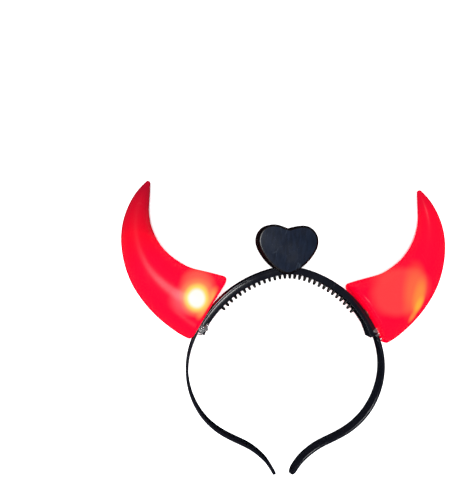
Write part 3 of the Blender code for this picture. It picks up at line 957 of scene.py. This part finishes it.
class HornSkin:
    """The horn's skin. Stations run from 0 at the base to 1 at the point, and size scales the table."""

    def __init__(self, size, seam_height):
        out, curl, lean, width, depth, square = (np.array(values) for values in zip(*HORN))
        out, curl, width, depth = out * size, curl * size, width * size, depth * size
        arc = np.concatenate([[0.0], np.cumsum(np.hypot(np.diff(out), np.diff(curl)))])
        marks = arc / arc[-1]
        self.length = arc[-1]
        self.seam_height = seam_height
        self.out, self.curl, self.lean = Curve(marks, out), Curve(marks, curl), Curve(marks, lean)
        self.width, self.depth, self.square = Curve(marks, width), Curve(marks, depth), Curve(marks, square)

    def turns(self, station, sides):
        """Angles round a section, closer together over the parting line, and the seam's share at each."""
        depth, power = self.depth(station), 2 / self.square(station)
        near = [math.asin(min((z / depth) ** (1 / power), 0.9)) for z, _ in SEAM]
        share = [part for _, part in SEAM]
        half = near[:-1] + list(np.linspace(near[-1], math.pi - near[-1], sides))
        half += [math.pi - t for t in near[-2:0:-1]]
        marks = share[:-1] + [0.0] * sides + share[-2:0:-1]
        return half + [math.pi + t for t in half], marks + marks

    def ring(self, station, sides, inset=0.0, lift=0.0, seam=0.0):
        """One closed section, drawn in by inset and lifted along the horn, level near the base."""
        level = max(0.0, 1 - station / HORN_LEVEL)
        lean = math.radians(self.lean(station)) * (1 - level)
        centre = np.array((self.curl(station), self.out(station)))
        centre += lift * np.array((math.sin(lean), math.cos(lean)))
        across = np.array((math.cos(lean), -math.sin(lean)))
        width, depth = self.width(station) - inset, self.depth(station) - inset
        power = 2 / self.square(station)
        turns, shares = self.turns(station, sides)
        rows = []
        for turn, share in zip(turns, shares):
            c, s = math.cos(turn), math.sin(turn)
            wide = width * abs(c) ** power + seam * share * self.seam_height
            x, y = centre + across * math.copysign(wide, c)
            z = depth * math.copysign(abs(s) ** power, s)
            rows.append((x, y - level * seat_drop(x), z, share * seam))
        return rows


def horn_pose(side, clock, lean):
    """Where a horn's base lies, and which way it faces: as near to the hoop as the clearance allows."""
    _, inward = hoop_station(side * clock)
    turn = math.atan2(-inward[1], -inward[0]) - side * math.radians(lean)
    out = np.array((math.cos(turn), math.sin(turn)))
    across = np.array((-out[1], out[0]))
    middle = hoop_point(side * clock)
    closest = math.inf
    for x in np.linspace(-21.0, 21.0, 43):
        spot = middle + across * x - out * seat_drop(x)
        spot_clock = math.degrees(math.atan2(spot[0], spot[1]))
        closest = min(closest, float(np.linalg.norm(spot)) - hoop_radius(abs(spot_clock)))
    return middle + out * (CLEARANCE - closest), turn


def build_horn(name, side, clock, lean, size, settings):
    """Inner skin down to the floor, the lamp hole, the base and its rim, then the outer skin."""
    base, turn = horn_pose(side, clock, lean)
    skin = HornSkin(size, settings.seam_height / MM)
    sides = settings.sides
    wall = settings.wall / MM
    rows, stations = [], []
    for station in np.linspace(HOLLOW_END, HOLLOW_START, 34):
        rows.append(skin.ring(station, sides, wall))
        stations.append(station)
    flat = skin.ring(0.0, sides)
    around = [math.atan2(p[2], p[0]) for p in flat]

    def flat_ring(inset, lift):
        return [(x, y + lift, z, 0.0) for x, y, z, _ in skin.ring(0.0, sides, inset)]

    def hole_ring(radius, lift):
        spots = [(radius * math.cos(t), radius * math.sin(t)) for t in around]
        return [(x, lift - seat_drop(x), z, 0.0) for x, z in spots]

    rows.append(flat_ring(wall, HORN_FLOOR))
    rows += [hole_ring(radius, lift) for radius, lift in (
        (FLOOR_RING, HORN_FLOOR), (HORN_HOLE + HOLE_EDGE, HORN_FLOOR), (HORN_HOLE, HORN_FLOOR - HOLE_EDGE),
        (HORN_HOLE, HOLE_EDGE), (HORN_HOLE + HOLE_EDGE, 0.0), (FLOOR_RING, 0.0),
    )]
    stations += [0.0] * 7
    rim_end = HORN_RIM / skin.length
    for k in range(13):
        bend = math.radians(90 * k / 12)
        station = rim_end * (1 - math.cos(bend))
        rows.append(skin.ring(station, sides, HORN_RIM * (1 - math.sin(bend)), 0.0, k / 12))
        stations.append(station)
    for k in range(1, settings.rings + 1):
        station = rim_end + (1 - rim_end) * k / settings.rings
        rows.append(skin.ring(station, sides, 0.0, 0.0, min(1.0, (1 - station) * 12)))
        stations.append(station)
    for bend in np.radians((18, 36, 54, 72)):
        inset = skin.width(1.0) * (1 - math.cos(bend))
        rows.append(skin.ring(1.0, sides, inset, TIP_REACH * math.sin(bend)))
        stations.append(1.0)
    count = len(rows[0])
    flat_rows = np.array([p for ring in rows for p in ring])
    ends = [flat_rows[:count].mean(axis=0), flat_rows[-count:].mean(axis=0)]
    ends[1][0] += 0.12
    flat_rows = np.vstack([flat_rows, ends])
    points = flat_rows[:, :3] * (-side, 1, 1)
    faces = ring_faces(len(rows), count)
    last, end = len(rows) * count, (len(rows) - 1) * count
    faces += [((k + 1) % count, k, last) for k in range(count)]
    faces += [(end + k, end + (k + 1) % count, last + 1) for k in range(count)]
    mesh = mesh_from("horn_shell_" + name, points, faces)
    mesh.transform(
        PLACE @ Matrix.Translation((base[0], base[1], 0.0)) @ Matrix.Rotation(turn - math.pi / 2, 4, "Z")
    )
    put_column(mesh, "along", np.append(np.repeat(stations, count), (HOLLOW_END, 1.0)))
    near_base = flat_rows[:, 1] < 12
    put_column(mesh, "from_base", (flat_rows[:, 1] + seat_drop(flat_rows[:, 0]) * near_base) * MM)
    put_column(mesh, "seam", flat_rows[:, 3])
    horn = add_object("horn_shell_" + name, mesh)
    finish = horn_plastic("horn_red_" + name, settings, GLOW[name], FADE[name])
    finish_piece(horn, finish, 50.0, "horn", "horn_" + name)


def build_horns(settings):
    for name, side, clock, lean, size, _ in HORNS:
        build_horn(name, side, clock, lean, size, settings)


# Heart box.


def heart_solid(name, shrink, back, front):
    """The heart outline as a flat curve, extruded from back to front, its caps welded on."""
    curve = bpy.data.curves.new(name, "CURVE")
    curve.dimensions = "2D"
    curve.fill_mode = "BOTH"
    curve.resolution_u = 36
    curve.extrude = (front - back) / 2
    curve.offset = -shrink
    rows = list(HEART)
    for x, y, before, after in HEART[-2:0:-1]:
        rows.append((-x, y, (-after[0], after[1]), (-before[0], before[1])))
    spline = curve.splines.new("BEZIER")
    spline.use_cyclic_u = True
    spline.bezier_points.add(len(rows) - 1)
    for point, (x, y, before, after) in zip(spline.bezier_points, rows):
        point.handle_left_type = point.handle_right_type = "FREE"
        point.co = (x, y, 0)
        point.handle_left = (*before, 0)
        point.handle_right = (*after, 0)
    carrier = add_object(name + "_outline", curve)
    mesh = evaluated_mesh(carrier, name)
    mesh.transform(Matrix.Translation((*HEART_AT, (back + front) / 2)))
    bpy.data.objects.remove(carrier)
    bpy.data.curves.remove(curve)
    with reshaped(mesh) as shaped:
        bmesh.ops.remove_doubles(shaped, verts=shaped.verts, dist=WELD)
    return outward(mesh)


def round_rim(mesh, z, width, segments):
    """Rounds the outline's edges in the plane z, then rings the flat face with a narrow border."""
    def in_plane(items):
        return [item for item in items if all(abs(vertex.co.z - z) < WELD for vertex in item.verts)]

    with reshaped(mesh) as shaped:
        inner = shaped.verts.layers.float.new("face")
        bmesh.ops.dissolve_faces(shaped, faces=in_plane(shaped.faces))
        rim = in_plane(shaped.edges)
        bmesh.ops.bevel(shaped, geom=rim, offset=width, segments=segments, profile=0.5, affect="EDGES")
        shaped.normal_update()
        cap = in_plane(shaped.faces)
        bmesh.ops.inset_region(shaped, faces=cap, thickness=FACE_BORDER, use_even_offset=True)
        for vertex in {vertex for face in cap for vertex in face.verts}:
            vertex[inner] = 1.0


def hoop_block(name, inset):
    """A block along the crown, from an inset below the hoop's outer face inwards, to cut with."""
    clocks = np.linspace(-CUT_REACH, CUT_REACH, 69)
    points = []
    for clock in clocks:
        at, inward = hoop_station(clock)
        for depth, way in ((inset, 1), (inset, -1), (CUT_HEIGHT, -1), (CUT_HEIGHT, 1)):
            points.append((*(at + inward * depth), way * CUT_HALF))
    faces = ring_faces(len(clocks), 4)
    faces += [(0, 1, 2, 3), tuple(len(points) - k for k in (4, 3, 2, 1))]
    return add_object(name, mesh_from(name, points, faces))


def cut(item, cutter):
    made = item.modifiers.new("cut", "BOOLEAN")
    made.operation = "DIFFERENCE"
    made.solver = "EXACT"
    made.object = cutter


def build_heart(settings):
    # The box's colour is its black plastic with a painted reflection: a reddish brown that stands for the
    # horns' red light on its walls.
    black = black_plastic(
        "box_black", tuple(settings.box_colour_with_red_reflection), settings.box_roughness, (0.03, 0.02, 0.02), ripple=0.4
    )
    # The lid's face carries a painted reflection, a bluish slate sheen; its rim is the plastic's own black.
    painted_slate_sheen = black_plastic(
        "lid_slate", tuple(settings.rim_colour), settings.lid_roughness, (0.03, 0.04, 0.055),
        specular=0.22, streak=(1.0, 0.2, 1.0), face=tuple(settings.lid_face_sheen_colour),
    )
    rim = settings.rim / MM
    mesh = heart_solid("heart_box", 0.0, HEART_BACK, HEART_JOINT)
    round_rim(mesh, HEART_BACK, rim, 5)
    box = add_object("heart_box", mesh)
    inside = heart_solid("box_hollow", HEART_WALL, HEART_BACK + HEART_WALL, HEART_FRONT + 3)
    hollow = add_object("box_hollow", inside)
    floor = hoop_block("box_floor", -CLEARANCE - HEART_WALL)
    saddle = hoop_block("box_saddle", -CLEARANCE)
    cut(hollow, floor)
    settle(hollow)
    cut(box, hollow)
    cut(box, saddle)
    settle(box)
    box.data.transform(PLACE)
    finish_piece(box, black, 40.0, "battery_box", "battery_box")
    drop(hollow, floor, saddle)

    mesh = heart_solid("heart_lid", 0.0, HEART_JOINT + CLEARANCE, HEART_FRONT)
    round_rim(mesh, HEART_FRONT, rim, 6)
    mesh.transform(PLACE)
    finish_piece(add_object("heart_lid", mesh), painted_slate_sheen, 40.0, "battery_lid", "battery_lid")


# Lamps and glue.


def build_lamp(name, clock, settings, finish):
    """A turned lamp with a flange and a round nose, standing on the hoop's outer face."""
    at, inward = hoop_station(clock)
    along = Vector((-inward[0], -inward[1], 0.0))
    radius, length = settings.radius / MM, settings.length / MM
    nose = length - radius
    profile = [(radius * math.sin(t), nose + radius * math.cos(t)) for t in np.radians(np.arange(0, 91, 9))]
    profile += [(radius, 1.1), (radius + 0.4, 1.0), (radius + 0.4, 0.0), (0.0, 0.0)]
    mesh = bpy.data.meshes.new("lamp_" + name)
    mesh.from_pydata([(r, 0.0, h) for r, h in profile], [(k, k + 1) for k in range(len(profile) - 1)], [])
    lamp = add_object("lamp_" + name, mesh)
    turned = lamp.modifiers.new("turn", "SCREW")
    turned.steps = turned.render_steps = 40
    turned.use_merge_vertices = True
    turned.merge_threshold = WELD
    settle(lamp)
    outward(lamp.data)
    seat = Vector((*at, 0.0)) + along * CLEARANCE
    aim = along.to_track_quat("Z", "Y").to_matrix().to_4x4()
    put_column(lamp.data, "rise", [vertex.co.z / length for vertex in lamp.data.vertices])
    lamp.data.transform(PLACE @ Matrix.Translation(seat) @ aim)
    finish_piece(lamp, finish, 40.0, "led", "led_" + name)


def build_lamps(settings):
    finish = lamp_resin("lamp_resin", settings)
    for name, side, _, _, _, clock in HORNS:
        build_lamp(name, side * clock, settings, finish)


def build_bead(side, settings, finish):
    """Blobs run together into one bead, with an uneven skin."""
    mesh = bpy.data.meshes.new("glue_bead_" + side)
    quarter = math.pi / 2 if side == "left" else -math.pi / 2
    with reshaped(mesh) as shaped:
        for x, y, z, *radii in [row[1:] for row in GLUE if row[0] == side]:
            turn = Matrix.Rotation(math.atan2(y, x) + quarter, 4, "Z")
            stretched = Matrix.Translation((x, y, z)) @ turn @ Matrix.Diagonal((*radii, 1.0))
            bmesh.ops.create_icosphere(shaped, subdivisions=3, radius=1.0, matrix=stretched)
    bead = add_object("glue_bead_" + side, mesh)
    run = bead.modifiers.new("run_together", "REMESH")
    run.mode = "VOXEL"
    run.voxel_size = settings.voxel / MM
    calm = bead.modifiers.new("calm", "SMOOTH")
    calm.factor = 0.6
    calm.iterations = 6
    settle(bead)
    for vertex in bead.data.vertices:
        spot = vertex.co
        swell = noise.noise(spot * 0.9) * 0.28 + noise.noise(spot * 2.3) * 0.1
        vertex.co = spot + Vector((0.0, 0.0, swell))
    bead.data.transform(PLACE)
    finish_piece(bead, finish, 80.0, "led")


def build_glue(settings):
    finish = glue_resin("glue_clear", settings)
    for side in ("left", "right"):
        build_bead(side, settings, finish)


# Stage.


def studio_light(name, at, size, watts):
    """A softbox that faces the middle of the headband."""
    light = bpy.data.lights.new(name, "AREA")
    light.shape = "RECTANGLE"
    light.size, light.size_y = size
    light.energy = watts
    made = add_object(name, light, bpy.context.scene.collection)
    made.location = PLACE.to_3x3().normalized() @ Vector(at)
    made.rotation_mode = "QUATERNION"
    made.rotation_quaternion = made.location.to_track_quat("Z", "Y")


def build_stage(settings):
    scene = bpy.context.scene
    mesh = bpy.data.meshes.new("table_top")
    with reshaped(mesh) as shaped:
        bmesh.ops.create_grid(shaped, x_segments=8, y_segments=8, size=settings.table_size / 2)
    mesh.transform(Matrix.Translation((0.0, 0.0, -0.0002)))
    table = add_object("table_top", mesh, scene.collection)
    mesh.materials.append(table_finish("table_white", tuple(settings.table_colour)))
    table.visible_glossy = False

    world = bpy.data.worlds.new("studio")
    world.use_nodes = True
    shade = world.node_tree.nodes["Background"]
    shade.inputs["Color"].default_value = (*settings.room_colour, 1.0)
    shade.inputs["Strength"].default_value = settings.room_light
    scene.world = world
    world.cycles_visibility.glossy = False
    scene.view_settings.view_transform = "Standard"

    for name, at, size, power in SOFTBOXES:
        studio_light(name, at, size, settings.softbox_power * power)

    lens = bpy.data.cameras.new("camera")
    lens.sensor_fit = "AUTO"
    lens.sensor_width = 36.0
    lens.lens = settings.lens
    lens.clip_start = 0.01
    camera = add_object("camera", lens, scene.collection)
    turn = Vector([math.radians(angle) for angle in CAMERA_TURN])
    look = Matrix.Rotation(turn.length, 4, turn.normalized())
    camera.matrix_world = PLACE @ Matrix.Translation(CAMERA_AT) @ Matrix.Scale(1 / MM, 4) @ look
    scene.camera = camera


# Settings.


def length(label, about, value):
    return FloatProperty(name=label, description=about, default=value * MM, unit="LENGTH", precision=5)


def share(label, about, value):
    return FloatProperty(name=label, description=about, default=value, min=0.0, max=1.0, subtype="FACTOR")


def amount(label, about, value):
    return FloatProperty(name=label, description=about, default=value, min=0.0)


def colour(label, about, value):
    limits = {"min": 0.0, "max": 1.0}
    return FloatVectorProperty(name=label, description=about, default=value, subtype="COLOR", **limits)


class HoopSettings(bpy.types.PropertyGroup):
    strip_thickness: length("Strip thickness", "Thickness of the hoop's strip", 1.8)
    strip_depth: length("Strip depth", "Depth of the hoop's strip from back to front", 9.0)
    channel_height: length("Channel height", "From the hoop's outer face to the channel's inner edge", 4.9)
    channel_depth: length("Channel depth", "Depth of the comb's channel over its cheeks", 9.6)
    colour: colour("Colour", "Colour of the black plastic", (0.0034, 0.0038, 0.0062))
    roughness: share("Roughness", "How matt the hoop is", 0.16)


class CombSettings(bpy.types.PropertyGroup):
    plate_thickness: length("Plate thickness", "Thickness of the comb's plate", 1.5)
    plate_inset: length("Plate inset", "From the hoop's outer face to the plate's inner face", 4.6)
    peg_count: IntProperty(name="Pegs", description="How many pegs the comb has", default=29, min=2)
    peg_length: length("Peg length", "How far a peg stands out of the channel", 3.2)
    peg_radius: length("Peg radius", "Radius of a peg at its foot", 1.1)
    colour: colour("Colour", "Colour of the comb", (0.003, 0.0025, 0.0025))
    roughness: share("Roughness", "How matt the comb is", 0.3)


class HornSettings(bpy.types.PropertyGroup):
    wall: length("Wall", "Thickness of a horn's wall", 1.5)
    seam_height: length("Seam height", "How far the parting line stands out", 0.12)
    sides: IntProperty(name="Sides", description="Faces round half of a horn", default=44, min=12)
    rings: IntProperty(name="Rings", description="Rings along a horn", default=120, min=24)
    body_colour: colour("Body colour", "Red of the plastic", (0.55, 0.0, 0.009))
    # Painted shade: the darker red of the point stands for the lamp's light that doesn't reach it.
    point_shade_colour: colour("Point colour", "Deeper red of the unlit point", (0.17, 0.001, 0.008))
    seam_colour: colour("Seam colour", "Colour along the parting line", (0.3, 0.002, 0.02))
    glow_colour: colour("Glow colour", "Red of the lit wall", (0.6, 0.0, 0.014))
    floor_shade: length("Floor shade", "How far above the base the wall stays unlit", 2.6)
    roughness: share("Roughness", "How matt the horns are", 0.24)
    glow: amount("Glow", "Strength of the light in the wall", 1.0)


class HeartSettings(bpy.types.PropertyGroup):
    rim: length("Rim", "Radius of the box's rounded rims", 1.4)
    # Painted reflection: the reddish brown stands for the horns' red light on the box's black plastic.
    box_colour_with_red_reflection: colour("Box colour", "Colour of the box", (0.013, 0.0032, 0.0035))
    rim_colour: colour("Rim colour", "Colour of the lid's rim", (0.002, 0.0012, 0.0016))
    # Painted reflection: the bluish slate tone stands for the room's light mirrored in the lid's flat face.
    lid_face_sheen_colour: colour("Lid colour", "Colour of the lid's face", (0.0032, 0.0056, 0.0125))
    box_roughness: share("Box roughness", "How matt the box is", 0.26)
    lid_roughness: share("Lid roughness", "How matt the lid is", 0.24)


class LampSettings(bpy.types.PropertyGroup):
    radius: length("Radius", "Radius of a lamp", 2.5)
    length: length("Length", "Length of a lamp", 8.7)
    colour: colour("Colour", "Colour of the resin", (1.0, 0.95, 0.85))
    strength: amount("Strength", "Strength of a lamp's light", 3.0)


class GlueSettings(bpy.types.PropertyGroup):
    voxel: length("Detail", "Size of the finest detail in a bead", 0.22)
    roughness: share("Roughness", "How matt the glue is", 0.08)


class StageSettings(bpy.types.PropertyGroup):
    table_size: length("Table size", "Side of the table top", 6000.0)
    table_colour: colour("Table colour", "Colour of the table top", (0.95, 0.95, 0.95))
    room_colour: colour("Room colour", "Colour of the light from the room", (0.96, 0.98, 1.0))
    room_light: amount("Room light", "Strength of the light from the room", 1.35)
    softbox_power: amount("Softbox", "Power of the upper softbox in watts", 6.0)
    lens: amount("Lens", "Focal length in millimetres on a 36 mm wide sensor", 32.62)


# Operators.


class BuildsPart:
    """What the operators share: each builds its part with the part's own settings."""

    def execute(self, context):
        self.build(getattr(context.scene, "headband_" + self.part))
        return {"FINISHED"}


class HEADBAND_OT_hoop(BuildsPart, bpy.types.Operator):
    """Sweep the black hoop and the channel that holds its comb"""

    bl_idname = "headband.hoop"
    bl_label = "Hoop"
    part = "hoop"
    build = staticmethod(build_hoop)


class HEADBAND_OT_comb(BuildsPart, bpy.types.Operator):
    """Lay the comb's plate in the channel and set its pegs"""

    bl_idname = "headband.comb"
    bl_label = "Comb"
    part = "comb"
    build = staticmethod(build_comb)


class HEADBAND_OT_heart(BuildsPart, bpy.types.Operator):
    """Cut the heart-shaped battery box and its lid"""

    bl_idname = "headband.heart"
    bl_label = "Heart Box"
    part = "heart"
    build = staticmethod(build_heart)


class HEADBAND_OT_horns(BuildsPart, bpy.types.Operator):
    """Loft both hollow horns with their lit red plastic"""

    bl_idname = "headband.horns"
    bl_label = "Horns"
    part = "horns"
    build = staticmethod(build_horns)


class HEADBAND_OT_lamps(BuildsPart, bpy.types.Operator):
    """Turn the lamps that stand inside the horns"""

    bl_idname = "headband.lamps"
    bl_label = "Lamps"
    part = "lamps"
    build = staticmethod(build_lamps)


class HEADBAND_OT_glue(BuildsPart, bpy.types.Operator):
    """Run beads of clear glue where the horns meet the hoop"""

    bl_idname = "headband.glue"
    bl_label = "Glue Beads"
    part = "glue"
    build = staticmethod(build_glue)


class HEADBAND_OT_stage(BuildsPart, bpy.types.Operator):
    """Set the table top, the studio light and the camera"""

    bl_idname = "headband.stage"
    bl_label = "Stage"
    part = "stage"
    build = staticmethod(build_stage)


class HEADBAND_PT_panel(bpy.types.Panel):
    """Lists the headband's pieces and their settings"""

    bl_idname = "HEADBAND_PT_panel"
    bl_label = "Devil Horns Headband"
    bl_space_type = "VIEW_3D"
    bl_region_type = "UI"
    bl_category = "Headband"

    def draw(self, context):
        for part in PARTS:
            box = self.layout.box()
            box.operator("headband." + part)
            settings = getattr(context.scene, "headband_" + part)
            for label in type(settings).__annotations__:
                box.prop(settings, label)


PARTS = {
    "hoop": (HoopSettings, HEADBAND_OT_hoop),
    "comb": (CombSettings, HEADBAND_OT_comb),
    "heart": (HeartSettings, HEADBAND_OT_heart),
    "horns": (HornSettings, HEADBAND_OT_horns),
    "lamps": (LampSettings, HEADBAND_OT_lamps),
    "glue": (GlueSettings, HEADBAND_OT_glue),
    "stage": (StageSettings, HEADBAND_OT_stage),
}


def register():
    for part, (settings, operator) in PARTS.items():
        bpy.utils.register_class(settings)
        bpy.utils.register_class(operator)
        setattr(bpy.types.Scene, "headband_" + part, PointerProperty(type=settings))
    bpy.utils.register_class(HEADBAND_PT_panel)


def unregister():
    bpy.utils.unregister_class(HEADBAND_PT_panel)
    for part, (settings, operator) in reversed(PARTS.items()):
        delattr(bpy.types.Scene, "headband_" + part)
        bpy.utils.unregister_class(operator)
        bpy.utils.unregister_class(settings)


def main():
    register()
    for part in PARTS:
        getattr(bpy.ops.headband, part)()


if __name__ == "__main__":
    main()
